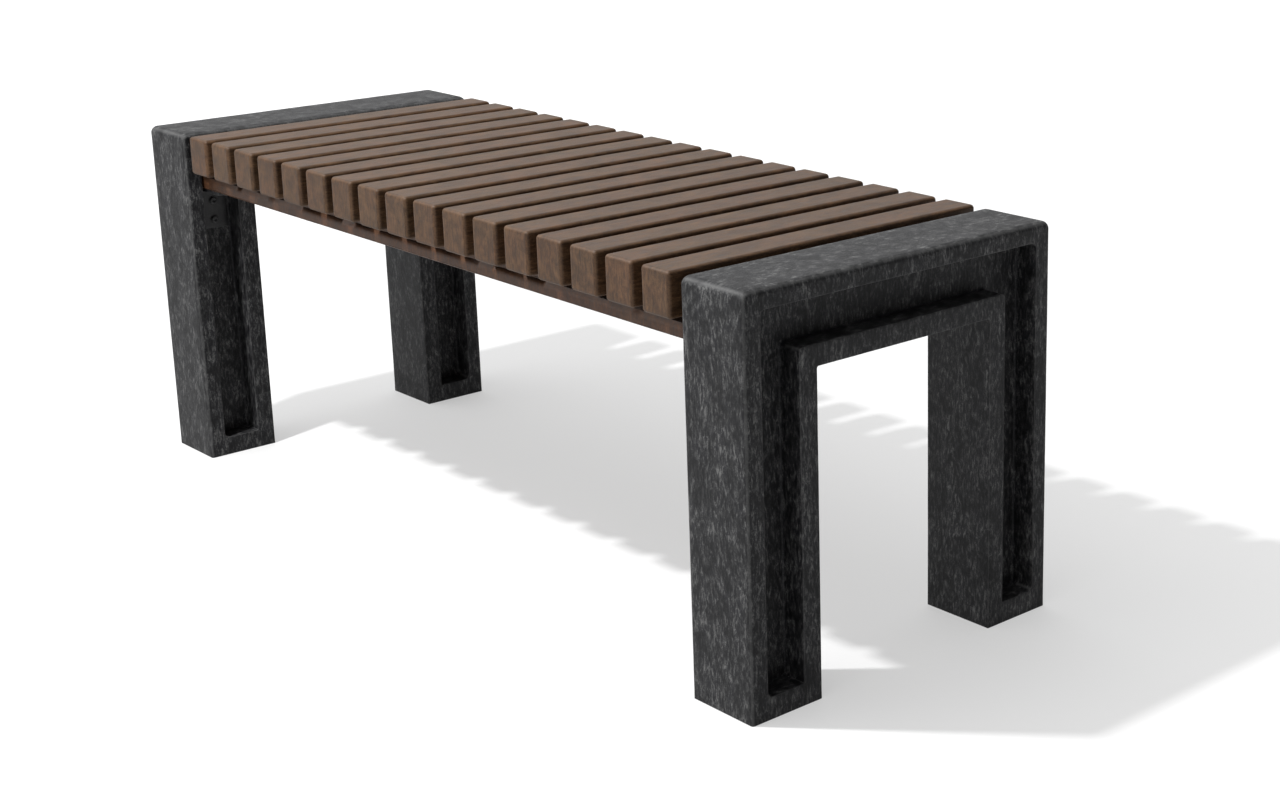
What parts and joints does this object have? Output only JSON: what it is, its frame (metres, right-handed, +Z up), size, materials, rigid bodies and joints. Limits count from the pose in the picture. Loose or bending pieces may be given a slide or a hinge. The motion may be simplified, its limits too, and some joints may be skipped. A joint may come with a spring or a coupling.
{
  "type": "backless bench",
  "caption": "Backless outdoor bench: crosswise slats on a seat board between solid inverted-U end frames with channelled faces.",
  "frame": {"origin": "on the ground, under the middle of the bench", "axes": "+X along the bench, +Y to its rear, +Z up"},
  "size_m": [1.238, 0.435, 0.45],
  "materials": {
    "frame_plastic": "charcoal recycled plastic with fine light flecks and streaks",
    "slat_plastic": "brown recycled plastic with a faint lengthwise grain",
    "board_plastic": "brown recycled plastic with a faint lengthwise grain",
    "black_steel": "black powder-coated steel",
    "screw_steel": "stainless steel"
  },
  "bodies": {
    "root": {"left_end_frame": "frame_plastic", "right_end_frame": "frame_plastic", "seat_board": "board_plastic", "slat_01": "slat_plastic", "slat_02": "slat_plastic", "slat_03": "slat_plastic", "slat_04": "slat_plastic", "slat_05": "slat_plastic", "slat_06": "slat_plastic", "slat_07": "slat_plastic", "slat_08": "slat_plastic", "slat_09": "slat_plastic", "slat_10": "slat_plastic", "slat_11": "slat_plastic", "slat_12": "slat_plastic", "slat_13": "slat_plastic", "slat_14": "slat_plastic", "slat_15": "slat_plastic", "slat_16": "slat_plastic", "slat_17": "slat_plastic", "left_front_bracket": "black_steel", "left_rear_bracket": "black_steel", "right_front_bracket": "black_steel", "right_rear_bracket": "black_steel", "front_slat_screws": "screw_steel", "rear_slat_screws": "screw_steel", "board_bracket_screws": "black_steel", "frame_bracket_screws": "black_steel"}
  },
  "joints": []
}
